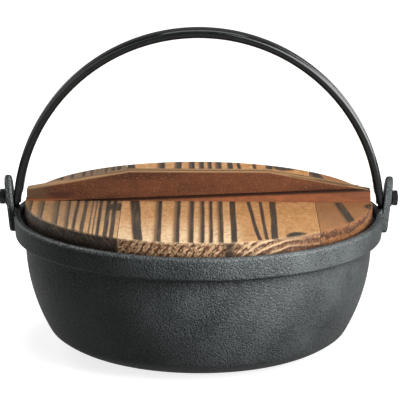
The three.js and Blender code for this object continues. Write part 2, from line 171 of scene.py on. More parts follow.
class Graph:
    """Lays the nodes of one tree and joins them."""

    def __init__(self, tree: NodeTree) -> None:
        """Starts from an empty tree."""
        self.tree = tree
        self.tree.nodes.clear()

    def add(self, kind: str, output: str | int, inputs: dict | None = None, **options: object) -> Signal:
        """Adds a node.

        Args:
            kind: Its type, without the words that all types share.
            output: The output to give back.
            inputs: Signals or plain values for its inputs.
            **options: Its own options.

        Returns:
            The chosen output.
        """
        node = self.tree.nodes.new(f"ShaderNode{kind}")
        for name, option in options.items():
            setattr(node, name, option)
        for name, value in (inputs or {}).items():
            self.put(node.inputs[name], value)
        return Signal(self, node.outputs[output])

    def put(self, socket: NodeSocket, value: Value | tuple) -> None:
        """Joins an input to a signal, or sets it to a plain value.

        Args:
            socket: The input to feed.
            value: A signal, or a number, colour or vector.
        """
        if isinstance(value, Signal):
            self.tree.links.new(value.socket, socket)
        else:
            socket.default_value = value

    def math(self, operation: str, *values: Value) -> Signal:
        """Adds a Math node with its inputs in order."""
        return self.add("Math", 0, dict(enumerate(values)), operation=operation)

    def surface(self, shader: Signal, output: str = "OutputMaterial") -> None:
        """Joins the finished shader to the tree's output."""
        self.put(self.tree.nodes.new(f"ShaderNode{output}").inputs["Surface"], shader)

    def shown(self, direct: float, mirrored: float) -> Signal:
        """Gives the glow of the surround for the rays that show it.

        Args:
            direct: Glow for the camera's own rays.
            mirrored: Glow for rays that are mirrored or let through.

        Returns:
            The glow, 0 for any other ray.
        """
        glow = self.add("LightPath", "Is Camera Ray") * direct
        for ray in ("Is Glossy Ray", "Is Transmission Ray"):
            glow = glow.peak(self.add("LightPath", ray) * mirrored)
        return glow


class Wiring(Graph):
    """Lays the nodes of one material."""

    def __init__(self, name: str) -> None:
        """Starts an empty material.

        Args:
            name: The material's name.
        """
        self.material = bpy.data.materials.new(name)
        self.material.use_nodes = True
        super().__init__(self.material.node_tree)
        self.place = self.add("TexCoord", "Object")

    def noise(self, repeats: float | tuple, detail: float, rough: float, shift: float = 0.0,
              lean: float = 0.0) -> Signal:
        """Adds a noise pattern on the object's own coordinates.

        Args:
            repeats: Repeats per metre, the same all ways or along X, Y and Z.
            detail: Octaves of finer noise.
            rough: Strength of the finer octaves.
            shift: Shift of the pattern along X, in repeats.
            lean: Turn of the pattern about Y in radians.

        Returns:
            The noise value from 0 to 1.
        """
        scale = repeats if isinstance(repeats, tuple) else (repeats,) * 3
        kind = "POINT"
        if lean:
            scale = tuple(1.0 / share for share in scale)
            kind = "TEXTURE"
        inputs = {"Vector": self.place, "Scale": scale, "Rotation": (0.0, lean, 0.0),
                  "Location": (shift, 0.0, 0.0)}
        mapped = self.add("Mapping", "Vector", inputs, vector_type=kind)
        inputs = {"Vector": mapped, "Scale": 1.0, "Detail": detail, "Roughness": rough}
        return self.add("TexNoise", "Fac", inputs)

    def pebbles(self, repeats: float) -> Signal:
        """Gives the distance to the nearest middle in a pattern of small rounded grains."""
        inputs = {"Vector": self.place, "Scale": repeats, "Smoothness": 0.6}
        return self.add("TexVoronoi", "Distance", inputs, feature="SMOOTH_F1")

    def ramp(self, value: Signal, *ends: tuple[float, Colour]) -> Signal:
        """Blends evenly from one colour to another while a value crosses a range.

        Args:
            value: The value.
            *ends: Place and colour of both ends.

        Returns:
            The colour.
        """
        colour = self.add("ValToRGB", "Color", {"Fac": value})
        for element, end in zip(colour.socket.node.color_ramp.elements, ends):
            element.position, element.color = end
        return colour

    def mix(self, share: Value, first: Tint, second: Tint) -> Signal:
        """Mixes a share of a second colour into a first one."""
        return self.add("Mix", 2, {0: share, 6: first, 7: second}, data_type="RGBA", clamp_factor=True)

    def coats(self, colour: Tint, *layers: tuple[Value, Tint]) -> Signal:
        """Lays coats of colour over each other.

        Args:
            colour: The lowest colour.
            *layers: Share and colour of each coat, in order.

        Returns:
            The colour on top.
        """
        for share, coat in layers:
            colour = self.mix(share, colour, coat)
        return colour

    def axes(self, vector: Signal | None = None) -> list[Signal]:
        """Splits a vector, or else the object's own coordinates, into X, Y and Z."""
        return [self.add("SeparateXYZ", axis, {0: vector or self.place}) for axis in "XYZ"]

    def facing_up(self) -> Signal:
        """Gives the Z part of the face's own normal."""
        return self.axes(self.add("NewGeometry", "True Normal"))[2]

    def wear(self) -> Signal:
        """Reads how worn a face is; on the cast iron the same mark also places a painted highlight."""
        return self.add("Attribute", "Fac", attribute_name="wear")

    def relief(self, height: Signal, depth: float, strength: float, below: Signal | None = None) -> Signal:
        """Adds a fine relief to the surface.

        Args:
            height: The relief's height from 0 to 1.
            depth: Its real depth in metres.
            strength: How strongly it shows.
            below: A coarser relief under it.

        Returns:
            The bent normal.
        """
        inputs = {"Height": height, "Distance": depth, "Strength": strength}
        if below is not None:
            inputs["Normal"] = below
        return self.add("Bump", "Normal", inputs)

    def dress(self, colour: Signal, roughness: Signal, normal: Signal, gloss: float,
              metal: float = 0.0) -> Material:
        """Feeds the shader and returns the finished material.

        Args:
            colour: The base colour.
            roughness: The roughness.
            normal: The bent normal.
            gloss: Specular level.
            metal: Share of bare metal.

        Returns:
            The material.
        """
        inputs = {"Base Color": colour, "Roughness": roughness, "Normal": normal, "Metallic": metal,
                  "Specular IOR Level": gloss}
        self.surface(self.add("BsdfPrincipled", "BSDF", inputs))
        return self.material


@dataclass(frozen=True)
class CastIronFinish:
    """Blackened cast iron with the fine pebble grain of a sand mould. Its worn rim and ear edges are
    painted a lighter grey that is also a painted highlight, strongest on the left.
    """

    grain_repeats: float = 800.0
    speck_repeats: float = 1000.0
    swell_repeats: float = 34.0
    grain_depth: float = 0.9 * MM
    swell_depth: float = 0.8 * MM
    gloss: float = 0.09
    dark: Colour = srgb(23, 25, 26)
    pale: Colour = srgb(52, 55, 55)
    # Lighter speckled grey of the rubbed edges, which also serves as the painted highlight along the rim's
    # outer top edge
    worn: Colour = srgb(92, 95, 94)

    def make(self) -> Material:
        """Builds the material.

        Returns:
            The material.
        """
        wire = Wiring("cast_iron")
        x, _, _ = wire.axes()
        grain = wire.pebbles(self.grain_repeats)
        speck = wire.noise(self.speck_repeats, 3.0, 0.6)
        swell = wire.noise(self.swell_repeats, 3.0, 0.5)
        plain = wire.ramp(speck * 0.7 + swell * 0.3, (0.4, self.dark), (0.6, self.pale))
        # Worn edge and painted highlight: the marked rim and ear faces turn lighter grey, fully on the left
        # side and faintly on the right
        rubbed = wire.wear() * speck.step(0.36, 0.62) * x.step(-0.09, -0.03, 1.0, 0.12)
        slow = wire.relief(swell, self.swell_depth, 0.35)
        normal = wire.relief(grain * -0.7 + speck * 0.6, self.grain_depth, 1.0, slow)
        roughness = swell.step(0.25, 0.75, 0.44, 0.52)
        return wire.dress(wire.mix(rubbed, plain, self.worn), roughness, normal, self.gloss)


@dataclass(frozen=True)
class SatinSteelFinish:
    """Satin black paint on drawn steel bar."""

    peel_repeats: float = 700.0
    peel_depth: float = 0.08 * MM
    wear_repeats: float = 120.0
    gloss: float = 0.2
    base: Colour = srgb(7, 8, 8)
    worn: Colour = srgb(14, 15, 15)

    def make(self) -> Material:
        """Builds the material.

        Returns:
            The material.
        """
        wire = Wiring("satin_black_steel")
        peel = wire.noise(self.peel_repeats, 2.0, 0.5)
        wear = wire.noise(self.wear_repeats, 4.0, 0.6)
        colour = wire.ramp(wear, (0.35, self.base), (0.75, self.worn))
        normal = wire.relief(peel, self.peel_depth, 0.08)
        return wire.dress(colour, wear.step(0.3, 0.7, 0.11, 0.15), normal, self.gloss)


@dataclass(frozen=True)
class BlackenedSteelFinish:
    """Blackened fasteners with rubbed edges."""

    brush_repeats: tuple[float, float, float] = (280.0, 1400.0, 1400.0)
    brush_depth: float = 0.06 * MM
    gloss: float = 0.3
    metal: float = 0.5
    base: Colour = srgb(34, 35, 36)
    pale: Colour = srgb(46, 47, 48)
    rubbed: Colour = srgb(72, 72, 72)

    def make(self) -> Material:
        """Builds the material.

        Returns:
            The material.
        """
        wire = Wiring("blackened_steel")
        brush = wire.noise(self.brush_repeats, 3.0, 0.6)
        plain = wire.ramp(brush, (0.3, self.base), (0.8, self.pale))
        colour = wire.mix(wire.wear() * 0.6, plain, self.rubbed)
        normal = wire.relief(brush, self.brush_depth, 0.5)
        return wire.dress(colour, brush.step(0.3, 0.7, 0.34, 0.46), normal, self.gloss, self.metal)


@dataclass(frozen=True)
class Scorch:
    """One scorched growth line that runs along a board.

    Attributes:
        at: Its place along X in millimetres, half-way to the front edge.
        width: Width of its dark core in millimetres.
        fade: Millimetres over which it fades in from the left.
        lean: Millimetres that it moves along X per millimetre towards the front.
        bow: Extra bend towards the front, in millimetres at the edge.
        depth: How dark it is.
    """

    at: float
    width: float
    fade: float = 2.0
    lean: float = 0.0
    bow: float = 0.0
    depth: float = 0.9


@dataclass(frozen=True)
class Patch:
    """One round scorched spot, all lengths in millimetres.

    Attributes:
        x: Its middle along X.
        y: Its middle along Y.
        half_x: Its reach along X.
        half_y: Its reach along Y.
    """

    x: float
    y: float
    half_x: float
    half_y: float


@dataclass(frozen=True)
class EndGrain:
    """How the sawn rim of a board looks.

    Attributes:
        pith_x: Middle of the growth rings along X in millimetres.
        pith_z: Middle of the growth rings along Z in millimetres.
        spacing: Width of a growth ring in millimetres.
        pale: Colour of the early wood.
        deep: Colour of the late wood.
        char: Share of scorched black.
        gleam: Share of fresh flecks towards the right.
        knot: Middle of a dark knot along X in millimetres, far off where there is none.
    """

    pith_x: float
    pith_z: float
    spacing: float
    pale: Colour
    deep: Colour
    char: float = 0.0
    gleam: float = 0.25
    knot: float = 500.0

    tan: Colour = srgb(150, 98, 62)
    core: Colour = srgb(48, 35, 28)
    soot: Colour = srgb(54, 45, 38)
    ash: Colour = srgb(138, 110, 86)
    # Colour of the painted shade along the rim's lower edge, next to the pot's rim
    painted_shade: Colour = srgb(48, 34, 26)

    def colour(self, wire: Wiring, fresh: Colour) -> Signal:
        """Colours the sawn rim with growth rings and flecks, and paints shade along its lower edge.

        Args:
            wire: The board's wiring.
            fresh: The board's freshest colour.

        Returns:
            The colour.
        """
        x, _, z = wire.axes()
        wave = wire.noise((60.0, 8.0, 60.0), 2.0, 0.5) * 5.0
        fleck = wire.noise((800.0, 320.0, 420.0), 2.0, 0.65, lean=0.8)
        streak = wire.noise((700.0, 300.0, 60.0), 2.0, 0.6, lean=-0.7)
        radius = ((x / MM - self.pith_x) ** 2.0 + (z / MM - self.pith_z) ** 2.0) ** 0.5
        ring = wire.math("FRACT", (radius + wave) / self.spacing)
        arc = ring.step(0.0, 0.1) * ring.step(0.26, 0.4, 1.0, 0.0)
        return wire.coats(
            self.pale,
            (x.step(0.03, 0.07), self.tan),
            (ring.step(0.35, 0.8) * ring.step(0.9, 1.0, 1.0, 0.0), self.deep),
            (fleck.step(0.5, 0.62, 0.0, 0.95), self.deep),
            (fleck.step(0.36, 0.45, 1.0, 0.0) * x.step(0.03, 0.06, 1.0, self.gleam), fresh),
            (arc * x.step(0.026, 0.036, 0.0, 0.8) * x.step(0.05, 0.075, 1.0, 0.15), fresh),
            ((abs(x / MM - self.knot) + wave).step(4.0, 9.0, 0.85, 0.0), self.core),
            (self.char, wire.mix(streak.step(0.48, 0.66, 0.0, 0.6), self.soot, self.ash)),
            # Painted shade: the rim's lower edge is darkened where the pot's rim shades it
            (z.step(0.0945, 0.0985, 0.5, 0.0), self.painted_shade),
        )


@dataclass(frozen=True)
class BoardFinish:
    """Scorched and brushed softwood of one lid board, grain along Y.

    Attributes:
        name: The material's name.
        tone: Main colour of the top.
        fresh: Colour where the scorch was brushed off most.
        scorches: Dark growth lines.
        rim: Look of the sawn rim.
        veil: Share of grey scorch over the whole top.
        seed: Shift of the grain so that boards differ.
        fresh_end: Millimetres along X where the fresh colour ends.
        patches: Round scorched spots.
        back_veil: Share of grey scorch behind the handle.
        toast: Colour of the lightly scorched wood.
    """

    name: str
    tone: Colour
    fresh: Colour
    scorches: tuple[Scorch, ...]
    rim: EndGrain
    veil: float
    seed: float
    fresh_end: float = 300.0
    patches: tuple[Patch, ...] = ()
    back_veil: float = 0.0
    toast: Colour = srgb(136, 88, 52)

    char: Colour = srgb(60, 51, 42)
    smoke: Colour = srgb(104, 86, 66)
    front_half: float = -65.0 * MM
    front_reach: float = 62.0
    wander: float = 2.4
    fray: float = 1.6
    fresh_fade: float = 14.0
    gloss: float = 0.35
    grain_depth: float = 0.4 * MM
    speck_depth: float = 0.1 * MM

    def make(self) -> Material:
        """Builds the material.

        Returns:
            The material.
        """
        wire = Wiring(self.name)
        fibre = wire.noise((900.0, 26.0, 900.0), 3.0, 0.55, self.seed)
        speck = wire.noise(950.0, 3.0, 0.6)
        burn = self._burn(wire, speck)
        flat = abs(wire.facing_up()).step(0.55, 0.9)
        colour = wire.coats(self.rim.colour(wire, self.fresh), (flat, self._top(wire, fibre, speck, burn)),
                            (wire.wear() * 0.3, self.fresh))
        slow = wire.relief(fibre * 0.35 - burn * 0.8, self.grain_depth, 0.7)
        normal = wire.relief(speck, self.speck_depth, 0.5, slow)
        return wire.dress(colour, burn.step(0.0, 1.0, 0.62, 0.5), normal, self.gloss)

    def _burn(self, wire: Wiring, speck: Signal) -> Signal:
        """Lays the dark growth lines and spots over each other.

        Args:
            wire: The material's wiring.
            speck: Fine noise that frays their edges.

        Returns:
            How scorched the top is, from 0 to 1.
        """
        x, y, _ = wire.axes()
        drift = wire.noise((55.0, 9.0, 20.0), 2.0, 0.5, self.seed)
        forward = (y - self.front_half) * (-1.0 / MM)
        bend = (forward / self.front_reach).peak(0.0) ** 2.0
        across = x / MM + ((drift - 0.5) * self.wander + (speck - 0.5) * self.fray)
        sooted = y.step(0.0, 0.07, 0.52, 0.95)
        total: Value = 0.0
        for line in self.scorches:
            offset = across - (forward * line.lean + bend * line.bow) - line.at
            half = line.width / 2
            halo = offset.step(-half - line.fade, 0.2 - half, 0.0, sooted * line.depth)
            core = offset.step(-half - 0.7, 0.3 - half, 0.0, line.depth)
            total = (halo.peak(core) * offset.step(half - 0.5, half + 0.7, 1.0, 0.0)).peak(total)
        for spot in self.patches:
            away = ((across - spot.x) / spot.half_x) ** 2.0 + ((y / MM - spot.y) / spot.half_y) ** 2.0
            total = away.step(0.35, 1.25, 0.95, 0.0).peak(total)
        return total

    def _top(self, wire: Wiring, fibre: Signal, speck: Signal, burn: Signal) -> Signal:
        """Colours the brushed faces.

        Args:
            wire: The material's wiring.
            fibre: Fine grain noise.
            speck: Fleck noise.
            burn: How scorched the wood is.

        Returns:
            The colour.
        """
        x, y, _ = wire.axes()
        cloud = wire.noise((26.0, 12.0, 26.0), 3.0, 0.5, self.seed)
        figure = wire.noise((300.0, 150.0, 300.0), 3.0, 0.7, self.seed)
        side = x.step((self.fresh_end - self.fresh_fade) * MM, self.fresh_end * MM, 1.0, 0.1)
        return wire.coats(
            self.tone,
            (y.step(-0.125, -0.045, 1.0, 0.12) * side * cloud.step(0.25, 0.7, 0.78, 1.2), self.fresh),
            (fibre.step(0.45, 0.8, 0.0, 0.32), self.toast),
            (speck.step(0.55, 0.72, 0.0, 0.6), self.toast),
            (speck.step(0.28, 0.42, 0.5, 0.0), self.fresh),
            (figure.step(0.5, 0.66, 0.0, 0.36), self.toast),
            (figure.step(0.34, 0.46, 0.22, 0.0), self.fresh),
            (cloud.step(0.35, 0.7) * self.veil, self.smoke),
            (y.step(0.0, 0.07, 0.0, self.back_veil), self.smoke),
            (burn.step(0.03, 0.48, 0.0, 0.9), self.toast),
            (burn.step(0.26, 0.46, 0.0, 0.8), self.smoke),
            (burn.step(0.48, 0.9), wire.mix(fibre.step(0.45, 0.75, 0.0, 0.8), self.char, self.smoke)),
        )


@dataclass(frozen=True)
class HandleFinish:
    """Scorched batten wood, grain along X. The sloped dovetail side below the shoulder is painted lighter
    as painted light where it faces up, with a painted shadow under the shoulder.
    """

    front: Colour = srgb(122, 74, 48)
    umber: Colour = srgb(88, 52, 36)
    # Lighter colour of the dovetail's sloped side: painted light, as that slope faces up into the light
    lit_flank: Colour = srgb(174, 102, 62)
    top: Colour = srgb(172, 132, 90)
    line: Colour = srgb(104, 74, 48)
    fleck: Colour = srgb(160, 108, 76)
    grey: Colour = srgb(104, 80, 58)
    soot: Colour = srgb(82, 44, 38)
    # Colour of the painted shadow under the shoulder
    painted_shade: Colour = srgb(44, 28, 20)
    # Height and climb of the shoulder line, below which a painted shadow is laid
    shoulder_z: float = 110.15 * MM
    shoulder_climb: float = 11.3 / 248.8
    grain_depth: float = 0.3 * MM
    gloss: float = 0.3

    def make(self) -> Material:
        """Builds the material.

        Returns:
            The material.
        """
        wire = Wiring("handle_wood")
        x, _, z = wire.axes()
        fibre = wire.noise((18.0, 700.0, 700.0), 3.0, 0.55)
        speck = wire.noise((700.0, 1000.0, 1000.0), 3.0, 0.6)
        cloud = wire.noise((22.0, 60.0, 60.0), 3.0, 0.55)
        mottle = wire.noise((150.0, 300.0, 300.0), 2.0, 0.55)
        lines = wire.noise((5.0, 210.0, 210.0), 1.0, 0.5)
        burnt = x.step(-0.112, -0.104) * x.step(-0.099, -0.088, 1.0, 0.0)
        low = z.step(0.1075, 0.1085) * z.step(0.111, 0.1135, 0.75, 0.0)
        front = wire.coats(
            self.front,
            (cloud.step(0.35, 0.7), self.umber),
            (fibre.step(0.5, 0.8, 0.0, 0.45), self.umber),
            (speck.step(0.52, 0.66, 0.0, 0.5), self.fleck),
            (x.step(-0.113, -0.104, 0.75, 0.0), self.grey),
            (burnt * low, self.soot),
            (mottle.step(0.5, 0.7, 0.0, 0.3), self.umber),
            # Painted highlight: a thin bright line along the foot of the front face at the left end
            (x.step(-0.096, -0.086, 0.8, 0.0) * z.step(0.1064, 0.1072, 1.0, 0.0), self.lit_flank),
        )
        under = x * self.shoulder_climb + self.shoulder_z - z
        # The sloped side below the shoulder, painted lighter as painted light, with a painted shadow along
        # its top
        lit_flank = wire.coats(
            self.lit_flank,
            (fibre.step(0.4, 0.75, 0.0, 0.5), self.front),
            (mottle.step(0.42, 0.62, 0.0, 0.4), self.front),
            (x.step(0.03, 0.12, 0.0, 0.4), self.front),
            (speck.step(0.62, 0.76, 0.0, 0.5), self.fleck),
            (cloud.step(0.45, 0.7, 0.0, 0.3), self.umber),
            # Painted shadow: a dark band just under the shoulder, where the blade overhangs the sloped side
            (under.step(0.0015, 0.0032, 0.95, 0.0), self.painted_shade),
        )
        crown = wire.mix(lines.step(0.46, 0.58, 0.0, 0.85), self.top, self.line)
        colour = wire.coats(
            front,
            (under.step(0.0, 0.0002), lit_flank),
            (wire.facing_up().step(0.7, 0.85), crown),
            (wire.wear() * under.step(-0.004, -0.0015, 0.45, 0.0), self.top),
        )
        normal = wire.relief(fibre * 0.7 + speck * 0.3, self.grain_depth, 0.6)
        return wire.dress(colour, fibre.step(0.3, 0.7, 0.55, 0.68), normal, self.gloss)


@dataclass(frozen=True)
class FloorFinish:
    """Plain pale studio floor that shows white to the camera and keeps the pot's shadow."""

    pale: Colour = (0.6, 0.6, 0.6, 1.0)
    lift: float = 0.8
    mirrored_lift: float = 0.35

    def make(self) -> Material:
        """Builds the material.

        Returns:
            The material.
        """
        wire = Wiring("studio_floor")
        matt = wire.add("BsdfDiffuse", 0, {"Color": self.pale})
        glow = wire.add("Emission", 0, {"Strength": wire.shown(self.lift, self.mirrored_lift)})
        wire.surface(wire.add("AddShader", 0, {0: matt, 1: glow}))
        return wire.material


def of_kind(items: list, kind: type) -> list:
    """Lists the items of one kind."""
    return [item for item in items if isinstance(item, kind)]


class Pen:
    """Draws an outline of straight runs and round turns on an upright plane.

    Its points are pairs: how far along the plane, and how far up.
    """

    def __init__(self, bm: BMesh, start: tuple, along: Vector = X_AXIS, x: float = 0.0) -> None:
        """Sets the pen down.

        Args:
            bm: The mesh to draw in.
            start: Where the outline begins.
            along: The level direction of the plane.
            x: Where the plane stands along X.
        """
        self.bm = bm
        self.along = along
        self.origin = X_AXIS * x
        self.first = self.tip = bm.verts.new(self._at(start))

    def _at(self, point: tuple) -> Vector:
        """Gives a point of the plane in space."""
        return self.origin + self.along * point[0] + Z_AXIS * point[1]

    def line(self, *points: tuple) -> None:
        """Draws straight runs through points.

        Args:
            *points: The points in order.
        """
        for point in points:
            vert = self.bm.verts.new(self._at(point))
            self.bm.edges.new((self.tip, vert))
            self.tip = vert

    def turn(self, centre: tuple, degrees: float, steps: int) -> None:
        """Draws a round turn about a centre.

        Args:
            centre: Middle of the turn.
            degrees: Angle of the turn, from along towards up.
            steps: Edges in the turn.
        """
        made = bmesh.ops.spin(self.bm, geom=[self.tip], cent=self._at(centre), angle=math.radians(degrees),
                              axis=self.along.cross(Z_AXIS), steps=steps, use_duplicate=False)
        self.tip = of_kind(made["geom_last"], BMVert)[0]

    def close(self) -> BMFace:
        """Joins the end to the start and fills the outline with one face.

        Returns:
            The face.
        """
        self.bm.edges.new((self.tip, self.first))
        bmesh.ops.remove_doubles(self.bm, verts=self.bm.verts[:], dist=MERGE_DISTANCE)
        return bmesh.ops.contextual_create(self.bm, geom=self.bm.edges[:])["faces"][0]


def whole(item: BMFace) -> list:
    """Lists a face with its edges and corners, as extruding and spinning need it."""
    return [item, *item.edges, *item.verts]


def push(bm: BMesh, item: BMFace, by: Vector = Vector()) -> BMFace:
    """Extrudes a face and moves the new one.

    Args:
        bm: The mesh.
        item: The face to extrude.
        by: How far the new face moves.

    Returns:
        The new face.
    """
    made = bmesh.ops.extrude_face_region(bm, geom=whole(item))
    new = of_kind(made["geom"], BMFace)[0]
    bmesh.ops.translate(bm, verts=new.verts[:], vec=by)
    return new


def tidy(bm: BMesh) -> None:
    """Merges doubled corners and turns all faces outwards."""
    bmesh.ops.remove_doubles(bm, verts=bm.verts[:], dist=MERGE_DISTANCE)
    bmesh.ops.recalc_face_normals(bm, faces=bm.faces[:])


def revolve(bm: BMesh, axis: Vector, turns: int) -> None:
    """Spins a drawn outline once round an axis through the origin.

    Args:
        bm: The mesh with the outline.
        axis: The axis.
        turns: Faces round the axis.
    """
    bmesh.ops.remove_doubles(bm, verts=bm.verts[:], dist=MERGE_DISTANCE)
    bmesh.ops.spin(bm, geom=bm.verts[:] + bm.edges[:], cent=(0.0, 0.0, 0.0), axis=axis, angle=2.0 * math.pi,
                   steps=turns, use_merge=True, use_duplicate=False)
    tidy(bm)


def split(bm: BMesh, point: tuple, normal: Vector, clear: bool = False) -> list[BMEdge]:
    """Cuts a mesh along a plane.

    Args:
        bm: The mesh.
        point: A point of the plane.
        normal: The plane's direction.
        clear: Whether all that lies beyond the plane goes.

    Returns:
        The edges along the cut.
    """
    made = bmesh.ops.bisect_plane(bm, geom=bm.verts[:] + bm.edges[:] + bm.faces[:], dist=MERGE_DISTANCE,
                                  plane_co=point, plane_no=normal, clear_outer=clear)
    return of_kind(made["geom_cut"], BMEdge)


def sharp_edges(bm: BMesh, degrees: float) -> list[BMEdge]:
    """Lists the edges whose faces meet at more than an angle."""
    limit = math.radians(degrees)
    return [edge for edge in bm.edges if len(edge.link_faces) == 2 and edge.calc_face_angle(0.0) > limit]


def wear_layer(bm: BMesh) -> BMLayerItem:
    """Gives the layer that holds how worn each face is."""
    return bm.faces.layers.float.get("wear") or bm.faces.layers.float.new("wear")


def ease(bm: BMesh, degrees: float, width: float, steps: int) -> None:
    """Rounds the sharp edges and marks the new faces as worn, a mark that the cast iron also uses for its
    painted edge highlight.

    Args:
        bm: The mesh.
        degrees: The least angle of the edges to round.
        width: How far the rounding reaches on each face.
        steps: Faces across the rounding.
    """
    wear = wear_layer(bm)
    made = bmesh.ops.bevel(bm, geom=sharp_edges(bm, degrees), offset=width, offset_type="OFFSET",
                           segments=steps, profile=0.5, affect="EDGES", material=-1, clamp_overlap=True)
    for new in made["faces"]:
        new[wear] = 1.0


def crisp(bm: BMesh, sharp: float) -> None:
    """Shades a mesh smooth but for its sharp edges.

    Args:
        bm: The mesh.
        sharp: Angle in degrees over which an edge stays crisp.
    """
    for item in [*bm.faces, *bm.edges]:
        item.smooth = True
    for edge in sharp_edges(bm, sharp):
        edge.smooth = False


def to_object(bm: BMesh, name: str, sharp: float = 40.0) -> Object:
    """Makes an object at the origin from a finished mesh, smooth but for its sharp edges.

    Args:
        bm: The mesh, which is freed.
        name: The piece's name.
        sharp: Angle in degrees over which an edge stays crisp.

    Returns:
        The object.
    """
    wear_layer(bm)
    crisp(bm, sharp)
    mesh = bpy.data.meshes.new(name)
    bm.to_mesh(mesh)
    bm.free()
    obj = bpy.data.objects.new(name, mesh)
    bpy.context.scene.collection.objects.link(obj)
    return obj


def taken_mesh(obj: Object) -> Mesh:
    """Removes an object and keeps its mesh.

    Args:
        obj: The object.

    Returns:
        Its mesh.
    """
    mesh = obj.data
    bpy.data.objects.remove(obj)
    return mesh


def cut(target: Object, cutter: Object, how: str = "DIFFERENCE", sharp: float = 35.0) -> None:
    """Cuts one object with another and removes the cutter.

    Args:
        target: The object to cut.
        cutter: The object that cuts.
        how: The kind of cut.
        sharp: Angle in degrees over which an edge stays crisp.
    """
    modifier = target.modifiers.new("cut", "BOOLEAN")
    modifier.operation = how
    modifier.solver = "EXACT"
    modifier.object = cutter
    graph = bpy.context.evaluated_depsgraph_get()
    made = bpy.data.meshes.new_from_object(target.evaluated_get(graph))
    target.modifiers.clear()
    bm = bmesh.new()
    bm.from_mesh(made)
    crisp(bm, sharp)
    bm.to_mesh(made)
    bm.free()
    old, target.data = target.data, made
    made.name = target.name
    for used in (old, taken_mesh(cutter)):
        bpy.data.meshes.remove(used)


def rod(name: str, radius: float, start: float, end: float, height: float = PIVOT_Z,
        sides: int = 48) -> Object:
    """Makes a straight rod along X, such as a cutter on the pivot line.

    Args:
        name: The rod's name.
        radius: Its radius, to the corners.
        start: Where it begins along X.
        end: Where it ends along X.
        height: Height of its middle line.
        sides: Faces round it.

    Returns:
        The rod.
    """
    bm = bmesh.new()
    place = Matrix.Translation(((start + end) / 2, 0.0, height)) @ UP_TO_X
    bmesh.ops.create_cone(bm, cap_ends=True, segments=sides, radius1=radius, radius2=radius,
                          depth=end - start, matrix=place)
    return to_object(bm, name)


def node_copy(node: str) -> BMesh:
    """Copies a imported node's mesh, merged into clean faces.

    Args:
        node: The node's name.

    Returns:
        The copy.
    """
    bm = bmesh.new()
    bm.from_mesh(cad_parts[node].data)
    bmesh.ops.remove_doubles(bm, verts=bm.verts[:], dist=NODE_MERGE_DISTANCE)
    bmesh.ops.dissolve_limit(bm, angle_limit=math.radians(FLAT_DEGREES), use_dissolve_boundaries=False,
                             verts=bm.verts[:], edges=bm.edges[:], delimit=set())
    return bm


def even_normals(obj: Object) -> None:
    """Keeps broad faces flat beside their rounded edges.

    Args:
        obj: The piece.
    """
    modifier = obj.modifiers.new("even", "WEIGHTED_NORMAL")
    modifier.keep_sharp = True
    modifier.weight = 100


def settle(obj: Object, body: Body, material: Material, node: str) -> None:
    """Gives a piece its finish and its place in the part.

    Args:
        obj: The piece.
        body: The body that it rides on.
        material: Its material.
        node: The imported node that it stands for.
    """
    obj.data.materials.clear()
    obj.data.materials.append(material)
    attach(obj, body.value)
    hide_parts(node)
    LOG.info("%s rides on %s, %d faces", obj.name, body.value, len(obj.data.polygons))


